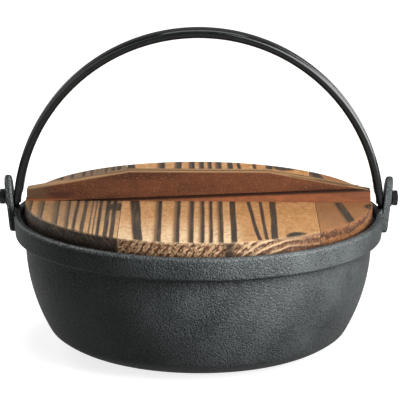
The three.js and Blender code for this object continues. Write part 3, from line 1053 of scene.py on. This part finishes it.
@dataclass
class PotCasting:
    """The cast bowl with its rim band and two ears."""

    height: float = 96.5 * MM
    rim_radius: float = 134.0 * MM
    rim_wall: float = 5.4 * MM
    rim_round: float = 2.0 * MM
    band_height: float = 16.0 * MM
    band_taper: float = 1.0 * MM
    band_overhang: float = 7.4 * MM
    band_round: float = 2.0 * MM
    band_fillet: float = 3.0 * MM
    belly_drop: float = 19.0 * MM
    belly_arc: float = 129.0 * MM
    corner: float = 13.0 * MM
    base_arc: float = 49.0 * MM
    base_degrees: float = 38.0
    wall: float = 5.0 * MM
    base: float = 6.0 * MM
    seat_depth: float = 6.0 * MM
    seat_round: float = 1.0 * MM
    ear_half: float = 10.0 * MM
    ear_thickness: float = 5.0 * MM
    ear_lean: float = math.radians(6.0)
    ear_seat_x: float = 134.2 * MM
    ear_top: float = 123.3 * MM
    ear_root: float = 83.0 * MM
    ear_flare: float = 5.0 * MM
    flare_depth: float = 3.6 * MM
    flare_slope: float = 0.8
    ear_fillet: float = 3.0 * MM
    fillet_steps: int = 5
    ear_round: float = 1.7 * MM
    ear_corner: float = 4.0 * MM
    round_over: float = 60.0
    eye_face: float = 9.0 * MM
    washer_face: float = 7.2 * MM
    washer_seat_x: float = 138.5 * MM
    cutters_x: tuple[float, float] = (120.0 * MM, 160.0 * MM)
    turns: int = 192
    sharp: float = 32.0

    def build(self, iron: Material) -> None:
        """Makes the casting.

        Args:
            iron: The cast iron.
        """
        bowl = self._bowl()
        for shape in (self._ear(), self._flare()):
            for _ in Side:
                bowl.from_mesh(shape)
                shape.transform(HALF_TURN)
            bpy.data.meshes.remove(shape)
        settle(to_object(bowl, CASTING, self.sharp), Body.POT, iron, "pot_body")

    @property
    def belly_x(self) -> float:
        """Outer radius of the belly under the band."""
        return self.rim_radius - self.band_taper - self.band_overhang

    def _wall_curve(self, inset: float, floor: float) -> tuple[float, float, tuple, float]:
        """Finds where the base arc, the corner arc and the belly arc meet.

        Args:
            inset: How far the curve lies inside the outer skin.
            floor: Height of the flat that the base arc starts from.

        Returns:
            The base arc's distance from the axis and radius, the corner's middle, and the angle in degrees
            at which the corner meets the belly.
        """
        base = self.base_arc - inset
        corner = self.corner - inset
        rise = math.radians(self.base_degrees)
        corner_z = floor + base - (base - corner) * math.cos(rise)
        between = self.belly_arc - self.corner
        tangent = math.asin((self.height - self.belly_drop - corner_z) / between)
        corner_x = self.belly_x - self.belly_arc + between * math.cos(tangent)
        start = corner_x - (base - corner) * math.sin(rise)
        return start, base, (corner_x, corner_z), math.degrees(tangent)

    def _bowl(self) -> BMesh:
        """Spins the bowl from one closed profile, outer skin first.

        Returns:
            The bowl.
        """
        bm = bmesh.new()
        wear = wear_layer(bm)
        rim, top, belly = self.rim_radius, self.height, self.belly_x
        belly_z, band_z, seat_z = top - self.belly_drop, top - self.band_height, top - self.seat_depth
        belly_middle = (belly - self.belly_arc, belly_z)
        fillet, edge, lip = self.band_fillet, self.rim_round, self.seat_round
        band = rim - self.band_taper - self.band_round
        recess = rim - self.rim_wall
        inner = belly - self.wall
        start, base, corner, tangent = self._wall_curve(0.0, 0.0)
        pen = Pen(bm, (0.0, 0.0))
        pen.line((start * 0.5, 0.0), (start, 0.0))
        pen.turn((start, base), self.base_degrees, 10)
        pen.turn(corner, 90.0 - self.base_degrees - tangent, 8)
        pen.turn(belly_middle, tangent, 20)
        pen.line((belly, band_z - fillet))
        pen.turn((belly + fillet, band_z - fillet), -90.0, 6)
        pen.line((band, band_z))
        pen.turn((band, band_z + self.band_round), 90.0, 6)
        pen.line((rim, top - edge))
        pen.turn((rim - edge, top - edge), 90.0, 6)
        pen.line((recess + lip, top))
        pen.turn((recess + lip, top - lip), 90.0, 5)
        pen.line((recess, seat_z), (inner + lip, seat_z))
        pen.turn((inner + lip, seat_z - lip), 90.0, 5)
        pen.line((inner, belly_z))
        start, base, corner, tangent = self._wall_curve(self.wall, self.base)
        pen.turn(belly_middle, -tangent, 16)
        pen.turn(corner, self.base_degrees + tangent - 90.0, 6)
        pen.turn((start, self.base + base), -self.base_degrees, 8)
        pen.line((start * 0.5, self.base), (0.0, self.base))
        revolve(bm, Z_AXIS, self.turns)
        # Marks the rim's outer top rounding, where the iron paints its lighter worn edge and painted
        # highlight
        for item in bm.faces:
            middle = item.calc_center_median()
            if middle.z > top - edge and middle.xy.length > rim - edge:
                item[wear] = 1.0
        return bm

    def _ear(self) -> Mesh:
        """Makes the right ear: a leaning round-headed lug with a fillet at its foot and a washer seat.

        Returns:
            The ear.
        """
        bm = bmesh.new()
        half, bend, root = self.ear_half, self.ear_corner, self.ear_root
        head = self.ear_top - half
        pen = Pen(bm, (-half + bend, root), Y_AXIS, self.ear_seat_x)
        pen.line((half - bend, root))
        pen.turn((half - bend, root + bend), 90.0, 6)
        pen.line((half, head))
        pen.turn((0.0, head), 180.0, 28)
        pen.line((-half, root + bend))
        pen.turn((-half + bend, root + bend), 90.0, 6)
        push(bm, pen.close(), X_AXIS * (self.ear_thickness / math.cos(self.ear_lean)))
        tidy(bm)
        ease(bm, self.round_over, self.ear_round, 4)
        for number in range(self.fillet_steps + 1):
            split(bm, (0.0, 0.0, self.height + self.ear_fillet * (number / self.fillet_steps)), Z_AXIS)
        middle = self.ear_seat_x + self.ear_thickness / 2
        for vert in bm.verts:
            below = min(max(self.height + self.ear_fillet - vert.co.z, 0.0), self.ear_fillet)
            if vert.co.x < middle:
                vert.co.x -= self.ear_fillet - math.sqrt(self.ear_fillet ** 2 - below ** 2)
            vert.co.x += (vert.co.z - PIVOT_Z) * math.tan(self.ear_lean)
        tidy(bm)
        lug = to_object(bm, "ear")
        cut(lug, rod("washer_seat", self.washer_face, self.washer_seat_x, self.cutters_x[1]))
        return self._faced(lug)

    def _flare(self) -> Mesh:
        """Makes the sweep that leads the rim's top into both edges of the right ear.

        Returns:
            The sweep.
        """
        bm = bmesh.new()
        inside = self.rim_radius - self.rim_wall + self.seat_round
        half, wide = self.ear_half, self.ear_half + self.ear_flare
        under, shoulder = self.height - self.rim_round, self.height + self.ear_flare
        pen = Pen(bm, (-wide, under), Y_AXIS, inside)
        pen.line((wide, under), (wide, self.height))
        pen.turn((wide, shoulder), -90.0, 8)
        pen.line((-half, shoulder))
        pen.turn((-wide, shoulder), -90.0, 8)
        push(bm, pen.close(), X_AXIS * self.flare_depth)
        tidy(bm)
        ease(bm, self.round_over, self.ear_round / 2, 3)
        for vert in bm.verts:
            lift = max(vert.co.z - self.height, 0.0)
            vert.co.z -= lift * (1.0 - (vert.co.x - inside) / self.flare_depth) * self.flare_slope
            vert.co.x = math.sqrt(vert.co.x ** 2 - vert.co.y ** 2)
        return self._faced(to_object(bm, "flare"))

    def _faced(self, lug: Object) -> Mesh:
        """Cuts the bail eye's spot face into a piece of the ear and returns its mesh."""
        cut(lug, rod("eye_seat", self.eye_face, self.cutters_x[0], self.ear_seat_x))
        return taken_mesh(lug)


@dataclass
class Bail:
    """The flat bar bail: one arch with its ends forged thin into round eyes."""

    rise: float = 124.0 * MM
    width: float = 16.0 * MM
    thickness: float = 6.4 * MM
    edge: float = 2.6 * MM
    edge_steps: int = 7
    eye_thickness: float = 5.2 * MM
    eye_taper: float = 2.2 * MM
    eye_degrees: float = 86.0
    taper_drop: float = 0.8 * MM
    eye_outer_x: float = 133.9 * MM
    neck_low: float = 1.0 * MM
    neck_high: float = 7.0 * MM
    bore: float = 4.9 * MM
    bore_x: float = 131.4 * MM
    bore_reach: float = 12.0 * MM
    steps: int = 112
    neck_steps: int = 6
    eye_steps: int = 8
    sharp: float = 50.0

    def build(self, steel: Material) -> None:
        """Makes the bail.

        Args:
            steel: The painted steel.
        """
        bm = bmesh.new()
        signs = (1.0, -1.0)
        for cap, sign in zip(self._arch(bm), signs):
            self._end(bm, cap, sign)
        tidy(bm)
        obj = to_object(bm, BAIL, self.sharp)
        for sign in signs:
            ends = sorted((sign * self.bore_x, sign * (self.bore_x - self.bore_reach)))
            cut(obj, rod("counterbore", self.bore, *ends), sharp=self.sharp)
        settle(obj, Body.BAIL, steel, "bail")

    @property
    def radius(self) -> float:
        """Radius of the arch's outer face, through the crown and both eyes."""
        return (self.eye_outer_x ** 2 + self.rise ** 2) / (2 * self.rise)

    @property
    def centre_z(self) -> float:
        """Height of the arch's middle."""
        return PIVOT_Z + self.rise - self.radius

    def _angle(self, rise: float) -> float:
        """Angle from the crown at which the outer face is a given height over the pivots."""
        return math.acos((PIVOT_Z + rise - self.centre_z) / self.radius)

    def _arch(self, bm: BMesh) -> list[BMFace]:
        """Spins the bar's section from the right neck over the crown to the left one.

        Args:
            bm: The mesh.

        Returns:
            The right and the left end face.
        """
        depth, side = (bm.verts.layers.float.new(name) for name in ("depth", "side"))
        bmesh.ops.create_grid(bm, x_segments=1, y_segments=1, size=0.5)
        shape = Matrix.Translation((0.0, 0.0, self.centre_z + self.radius - self.thickness / 2)) @ UP_TO_X
        shape = shape @ Matrix.Diagonal((self.thickness, self.width, 1.0, 1.0))
        bmesh.ops.transform(bm, matrix=shape, verts=bm.verts[:])
        bmesh.ops.bevel(bm, geom=bm.verts[:], offset=self.edge, offset_type="OFFSET",
                        segments=self.edge_steps, profile=0.5, affect="VERTICES", material=-1)
        for vert in bm.verts:
            vert[depth] = (self.centre_z + self.radius - vert.co.z) / self.thickness
            vert[side] = vert.co.y / (self.width / 2)
        first = bm.faces[:][0]
        end = self._angle(self.neck_high)
        hub = Vector((0.0, 0.0, self.centre_z))
        bmesh.ops.rotate(bm, cent=hub, matrix=Matrix.Rotation(end, 3, "Y"), verts=first.verts[:])
        made = bmesh.ops.spin(bm, geom=whole(first), cent=hub, axis=Y_AXIS, angle=-2.0 * end,
                              steps=self.steps, use_merge=False, use_duplicate=False)
        last = of_kind(made["geom_last"], BMFace)[0]
        ends = [item for item in bm.faces if len(item.verts) > 4 and item is not last]
        return [ends[0], last]

    def _end(self, bm: BMesh, cap: BMFace, sign: float) -> None:
        """Draws one end down into its thin neck and round eye.

        Args:
            bm: The mesh.
            cap: The bar's end face.
            sign: 1 for the right end and -1 for the left one.
        """
        depth, side = (bm.verts.layers.float[name] for name in ("depth", "side"))
        half = self.width / 2
        for number in range(1, self.neck_steps + 1):
            share = number / self.neck_steps
            angle = self._angle(self.neck_high + (self.neck_low - self.neck_high) * share)
            thin = self.thickness + (self.eye_thickness - self.thickness) * (3 - 2 * share) * share ** 2
            cap = push(bm, cap)
            for vert in cap.verts:
                radial = self.radius - vert[depth] * thin
                vert.co.x = sign * radial * math.sin(angle)
                vert.co.z = self.centre_z + radial * math.cos(angle)
        for number in range(self.eye_steps + 1):
            turn = math.radians(self.eye_degrees) * number / self.eye_steps
            drop = half * math.sin(turn)
            thinned = max(0.0, (drop - self.taper_drop) / (half - self.taper_drop))
            thin = self.eye_thickness - self.eye_taper * thinned
            cap = push(bm, cap)
            for vert in cap.verts:
                vert.co.x = sign * (self.eye_outer_x - vert[depth] * thin)
                vert.co.y = vert[side] * half * math.cos(turn)
                vert.co.z = PIVOT_Z - drop


@dataclass
class PivotSet:
    """One pivot's bolt, washer and nut, made on the right and turned for the left."""

    side: Side
    bolt_radius: float = 3.0 * MM
    head_radius: float = 4.6 * MM
    head_x: float = 128.9 * MM
    head_height: float = 2.2 * MM
    head_chamfer: float = 0.5 * MM
    head_break: float = 0.2 * MM
    bolt_end: float = 144.7 * MM
    tip_chamfer: float = 0.5 * MM
    tip_break: float = 0.1 * MM
    slot_width: float = 1.2 * MM
    slot_depth: float = 0.9 * MM
    washer_x: float = 138.8 * MM
    washer_radius: float = 6.2 * MM
    washer_thickness: float = 1.2 * MM
    washer_round: float = 0.25 * MM
    washer_hole: float = 3.3 * MM
    nut_x: float = 140.3 * MM
    nut_flats: float = 10.0 * MM
    nut_thickness: float = 4.0 * MM
    nut_chamfer: float = 0.7 * MM
    nut_land: float = 0.15 * MM
    nut_spare: float = 0.1 * MM
    thread_pitch: float = 1.0 * MM
    thread_depth: float = 0.35 * MM
    turns: int = 40
    washer_sharp: float = 35.0
    nut_sharp: float = 20.0

    def build(self, steel: Material) -> None:
        """Makes the three pieces.

        Args:
            steel: The blackened steel.
        """
        for obj, kind in ((self._bolt(), "pivot_bolt"), (self._washer(), "washer"), (self._nut(), "nut")):
            name = f"{self.side.value}_{kind}"
            obj.data.transform(self.side.place @ Matrix.Translation((0.0, 0.0, PIVOT_Z)))
            obj.name = f"{name}_piece"
            settle(obj, Body.POT, steel, name)

    def _bolt(self) -> Object:
        """Turns the bolt with its flat slotted head and threaded end.

        Returns:
            The bolt.
        """
        bm = bmesh.new()
        head, neck, end = self.head_x, self.head_x + self.head_height, self.bolt_end
        wide, thin, pitch = self.head_radius, self.bolt_radius, self.thread_pitch
        pen = Pen(bm, (head, 0.0))
        pen.line((head, wide - self.head_chamfer), (head + self.head_chamfer, wide))
        pen.line((neck - self.head_break, wide), (neck, wide - self.head_break), (neck, thin))
        x = self.nut_x + self.nut_thickness - pitch
        pen.line((x, thin))
        while x + pitch < end - self.tip_chamfer:
            pen.line((x + pitch * 0.5, thin - self.thread_depth), (x + pitch, thin))
            x += pitch
        pen.line((end - self.tip_chamfer, thin - self.tip_break), (end, thin - self.tip_chamfer))
        pen.line((end, 0.0))
        revolve(bm, X_AXIS, self.turns)
        bolt = to_object(bm, "bolt")
        slot = bmesh.new()
        size = Matrix.Diagonal((2 * self.slot_depth, self.slot_width, 4 * wide, 1.0))
        bmesh.ops.create_cube(slot, size=1.0, matrix=Matrix.Translation((head, 0.0, 0.0)) @ size)
        cut(bolt, to_object(slot, "slot"))
        return bolt

    def _washer(self) -> Object:
        """Turns the washer with eased rims.

        Returns:
            The washer.
        """
        bm = bmesh.new()
        start, end = self.washer_x, self.washer_x + self.washer_thickness
        edge, hole = self.washer_round, self.washer_hole
        low = self.washer_radius - edge
        pen = Pen(bm, (start, hole))
        pen.line((start, low))
        pen.turn((start + edge, low), -90.0, 3)
        pen.line((end - edge, self.washer_radius))
        pen.turn((end - edge, low), -90.0, 3)
        pen.line((end, hole), (start, hole))
        revolve(bm, X_AXIS, self.turns)
        return to_object(bm, "washer", self.washer_sharp)

    def _nut(self) -> Object:
        """Makes the hexagon nut, its corners turned off at both ends and its hole on the bolt's shank.

        Returns:
            The nut.
        """
        start, end = self.nut_x, self.nut_x + self.nut_thickness
        reach = self.nut_flats / math.sqrt(3.0)
        low, high, bore = self.nut_flats / 2 - self.nut_land, reach + self.nut_spare, self.bolt_radius
        nut = rod("nut", reach, start, end, 0.0, 6)
        shell = bmesh.new()
        pen = Pen(shell, (start, bore))
        pen.line((start, low), (start + self.nut_chamfer, high), (end - self.nut_chamfer, high), (end, low),
                 (end, bore), (start, bore))
        revolve(shell, X_AXIS, self.turns)
        cut(nut, to_object(shell, "shell"), "INTERSECT", self.nut_sharp)
        return nut


@dataclass
class Lid:
    """The boarded lid and its dovetailed handle."""

    finishes: dict[Board, BoardFinish]
    handle: HandleFinish = HandleFinish()
    round_over: float = 25.0
    board_round: float = 0.55 * MM
    handle_round: float = 0.7 * MM
    handle_reach: float = 124.4 * MM
    handle_half: float = 5.75 * MM
    handle_top_z: float = 127.5 * MM
    slope_start: float = 50.0 * MM
    slope_end_z: float = 114.1 * MM
    shoulders_z: tuple[float, float] = (104.5 * MM, 115.8 * MM)
    key_floor_z: float = 99.8 * MM
    key_halves: tuple[float, float] = (5.32 * MM, 10.57 * MM)
    key_lean: float = math.radians(24.0)
    key_neck: float = 1.2 * MM
    sharp: float = 50.0

    def build(self) -> None:
        """Makes the boards and the handle."""
        for board in Board:
            bm = node_copy(board.value)
            ease(bm, self.round_over, self.board_round, 2)
            obj = to_object(bm, f"{board.value}_piece", self.sharp)
            even_normals(obj)
            settle(obj, Body.LID, self.finishes[board].make(), board.value)
        obj = self._handle()
        even_normals(obj)
        settle(obj, Body.LID, self.handle.make(), "lid_handle")

    def _handle(self) -> Object:
        """Joins the handle's blade to its dovetail key, planes its ends and eases its edges.

        Returns:
            The handle.
        """
        blade = self._bar("blade", [(self.handle_half, z) for z in self.shoulders_z],
                          [(self.handle_half, self.handle_top_z)] * 2)
        crests = []
        for half, shoulder in zip(self.key_halves, self.shoulders_z):
            crest = shoulder + self.key_neck
            crests.append((half - (crest - self.key_floor_z) * math.tan(self.key_lean), crest))
        floor = [(half, self.key_floor_z) for half in self.key_halves]
        cut(blade, self._bar("key", floor, crests), "UNION")
        joined = taken_mesh(blade)
        bm = bmesh.new()
        bm.from_mesh(joined)
        bpy.data.meshes.remove(joined)
        self._slope(bm)
        ease(bm, self.round_over, self.handle_round, 3)
        return to_object(bm, "lid_handle_piece", self.sharp)

    def _bar(self, name: str, foot: list[tuple], crest: list[tuple]) -> Object:
        """Makes one straight bar along the handle.

        Args:
            name: The bar's name.
            foot: Half width and height of its lower face at the left and the right end.
            crest: Half width and height of its upper face at the left and the right end.

        Returns:
            The bar.
        """
        bm = bmesh.new()
        bmesh.ops.create_cube(bm, size=2.0)
        for vert in bm.verts:
            half, height = (crest if vert.co.z > 0.0 else foot)[0 if vert.co.x < 0.0 else 1]
            vert.co = Vector((vert.co.x * self.handle_reach, vert.co.y * half, height))
        return to_object(bm, name)

    def _slope(self, bm: BMesh) -> None:
        """Planes the handle's top down towards both ends.

        Args:
            bm: The handle.
        """
        for sign in (1.0, -1.0):
            run = sign * (self.handle_reach - self.slope_start)
            up = Vector((self.handle_top_z - self.slope_end_z, 0.0, run)) * sign
            edges = split(bm, (sign * self.slope_start, 0.0, self.handle_top_z), up, True)
            bmesh.ops.contextual_create(bm, geom=edges)
        tidy(bm)


LEFT_BOARD = BoardFinish(
    name="scorched_board_left",
    tone=srgb(168, 124, 82),
    fresh=srgb(224, 180, 130),
    scorches=(
        Scorch(-119.0, 0.9, 6.0, 0.02, depth=0.85),
        Scorch(-110.5, 0.9, 7.0, 0.02),
        Scorch(-99.5, 0.9, 7.5, 0.02),
        Scorch(-91.5, 1.0, 4.5, 0.02),
        Scorch(-86.5, 1.8, 1.6, 0.005, depth=0.85),
        Scorch(-80.8, 2.2, 1.2, 0.005, depth=0.75),
        Scorch(-76.0, 0.9, 0.8, 0.005, depth=0.6),
        Scorch(-73.0, 0.8, 0.8, 0.005, depth=0.6),
        Scorch(-69.6, 2.0, 1.0, 0.005),
        Scorch(-64.2, 2.6, 1.0, 0.005),
        Scorch(-59.8, 2.6, 1.0, 0.005, depth=0.85),
    ),
    rim=EndGrain(-150.0, 60.0, 3.2, srgb(120, 92, 68), srgb(58, 44, 36), char=0.9),
    veil=0.45,
    seed=3.1,
    patches=(Patch(-57.5, -24.0, 9.0, 13.0),),
    back_veil=0.75,
    toast=srgb(112, 84, 58),
)

CENTRE_BOARD = BoardFinish(
    name="scorched_board_centre",
    tone=srgb(190, 135, 80),
    fresh=srgb(242, 210, 166),
    scorches=(
        Scorch(-43.4, 5.8, 2.5, 0.05),
        Scorch(-27.3, 2.3, 5.6),
        Scorch(-14.4, 2.2, 5.0),
        Scorch(-4.4, 2.2, 4.0),
        Scorch(3.0, 1.9, 3.5, depth=0.85),
        Scorch(8.8, 1.6, 2.5),
        Scorch(15.9, 2.3, 4.0, depth=0.85),
        Scorch(24.3, 3.6, 1.2),
        Scorch(38.2, 2.2, 1.0, 0.04, 2.4),
        Scorch(45.0, 2.0, 1.0, 0.012, 1.5),
        Scorch(52.5, 4.2, 1.0, -0.01),
    ),
    rim=EndGrain(70.0, 40.0, 4.4, srgb(206, 160, 118), srgb(98, 62, 42), knot=21.0),
    veil=0.0,
    seed=8.7,
    fresh_end=34.0,
    patches=(Patch(68.0, -107.0, 8.5, 13.0), Patch(66.0, 107.0, 10.0, 14.0)),
)

RIGHT_BOARD = BoardFinish(
    name="scorched_board_right",
    tone=srgb(150, 100, 60),
    fresh=srgb(190, 134, 84),
    scorches=(Scorch(107.6, 5.8, 4.5, 0.125, depth=0.85),),
    rim=EndGrain(100.0, 150.0, 9.0, srgb(150, 98, 62), srgb(84, 52, 34), gleam=0.6),
    veil=0.3,
    seed=14.9,
    patches=(Patch(124.0, -20.0, 6.0, 9.0),),
)


@dataclass(frozen=True)
class SoftBox:
    """One soft studio light.

    Attributes:
        name: The light's name.
        place: Where it hangs.
        aim: What it points at.
        width: Its width.
        height: Its height.
        power: Its power in watts.
        piece: Name of the piece that it is linked to, if any.
        alone: Whether it lights that piece alone, or everything else.
    """

    name: str
    place: tuple[float, float, float]
    aim: tuple[float, float, float]
    width: float
    height: float
    power: float
    piece: str = ""
    alone: bool = True

    def hang(self) -> None:
        """Adds the light to the scene."""
        lamp = bpy.data.lights.new(self.name, "AREA")
        lamp.shape = "RECTANGLE"
        lamp.size = self.width
        lamp.size_y = self.height
        lamp.energy = self.power
        obj = bpy.data.objects.new(self.name, lamp)
        obj.location = self.place
        obj.rotation_euler = (Vector(self.aim) - Vector(self.place)).to_track_quat("-Z", "Y").to_euler()
        obj.visible_camera = False
        bpy.context.scene.collection.objects.link(obj)
        if self.piece:
            receivers = bpy.data.collections.new(f"{self.name}_receivers")
            obj.light_linking.receiver_collection = receivers
            receivers.objects.link(bpy.data.objects[self.piece])
            link = receivers.collection_objects[0].light_linking
            link.link_state = "INCLUDE" if self.alone else "EXCLUDE"


CROWN = (0.0, 0.0, 0.18)
LIGHTS = (
    SoftBox("key_right", (1.15, -0.85, 0.52), (0.0, 0.0, 0.06), 0.5, 1.0, 22.0),
    SoftBox("top", (0.05, 0.0, 1.5), (0.0, 0.0, 0.1), 1.2, 0.8, 17.0),
    SoftBox("left_back", (-0.9, 1.25, 0.6), (0.0, 0.0, 0.08), 0.6, 0.8, 9.0, BAIL, False),
    SoftBox("strip_right", (0.168, -0.24, 0.19), (0.072, -0.11, 0.088), 0.1, 0.16, 3.0, CASTING),
    SoftBox("panel_right", (1.0, -0.6, 0.72), CROWN, 2.4, 1.0, 128.0, BAIL),
    SoftBox("panel_right_back", (0.62, 0.8, 0.5), CROWN, 0.3, 0.7, 4.5, BAIL),
    SoftBox("panel_left", (-1.0, -0.6, 0.72), CROWN, 2.4, 1.0, 17.92, BAIL),
    SoftBox("panel_left_back", (-0.62, 0.8, 0.5), CROWN, 0.3, 0.7, 0.63, BAIL),
)


@dataclass
class Studio:
    """The floor, soft lights and camera of the picture."""

    frame_pixels: float = 400.0
    sensor: float = 36.0
    focal_pixels: float = 2400.0
    distance: float = 1.745
    look_height: float = 96.5 * MM
    elevation: float = math.radians(13.85)
    dip: float = math.radians(13.57)
    yaw: float = -1.4 / 2400.0
    roll: float = math.radians(0.25)
    far: float = 50.0
    floor_size: float = 6.0
    floor_gap: float = 0.02 * MM
    ambient: float = 0.15
    backdrop: float = 1.05

    def build(self) -> None:
        """Sets up everything that isn't the pot."""
        self._floor()
        self._world()
        for light in LIGHTS:
            light.hang()
        self._camera()

    def _floor(self) -> None:
        """Lays the floor just under the base."""
        bm = bmesh.new()
        bmesh.ops.create_grid(bm, x_segments=1, y_segments=1, size=self.floor_size)
        bmesh.ops.translate(bm, verts=bm.verts[:], vec=(0.0, 0.0, -self.floor_gap))
        obj = to_object(bm, "studio_floor")
        obj.data.materials.append(FloorFinish().make())

    def _world(self) -> None:
        """Sets a plain surround that lights the pot softly."""
        world = bpy.data.worlds.new("studio")
        bpy.context.scene.world = world
        world.use_nodes = True
        graph = Graph(world.node_tree)
        glow = graph.shown(self.backdrop, self.ambient).peak(self.ambient)
        graph.surface(graph.add("Background", 0, {"Strength": glow}), "OutputWorld")

    def _camera(self) -> None:
        """Stands the camera where the photograph was taken from."""
        data = bpy.data.cameras.new("camera")
        data.sensor_width = self.sensor
        data.lens = self.focal_pixels / self.frame_pixels * self.sensor
        data.clip_end = self.far
        obj = bpy.data.objects.new("camera", data)
        place = Matrix.Translation((0.0, -self.distance * math.cos(self.elevation),
                                    self.look_height + self.distance * math.sin(self.elevation)))
        aim = Matrix.Rotation(self.yaw, 4, "Z") @ Matrix.Rotation(math.pi / 2 - self.dip, 4, "X")
        obj.matrix_world = place @ aim @ Matrix.Rotation(self.roll, 4, "Z")
        bpy.context.scene.collection.objects.link(obj)
        bpy.context.scene.camera = obj


def main() -> None:
    """Builds the pot piece by piece and sets up the studio."""
    logging.basicConfig(level=logging.INFO, format="%(name)s: %(message)s")
    bpy.context.scene.view_settings.view_transform = "Standard"
    PotCasting().build(CastIronFinish().make())
    Bail().build(SatinSteelFinish().make())
    fastener = BlackenedSteelFinish().make()
    for side in Side:
        PivotSet(side).build(fastener)
    Lid({Board.LEFT: LEFT_BOARD, Board.CENTRE: CENTRE_BOARD, Board.RIGHT: RIGHT_BOARD}).build()
    Studio().build()


if __name__ == "__main__":
    main()
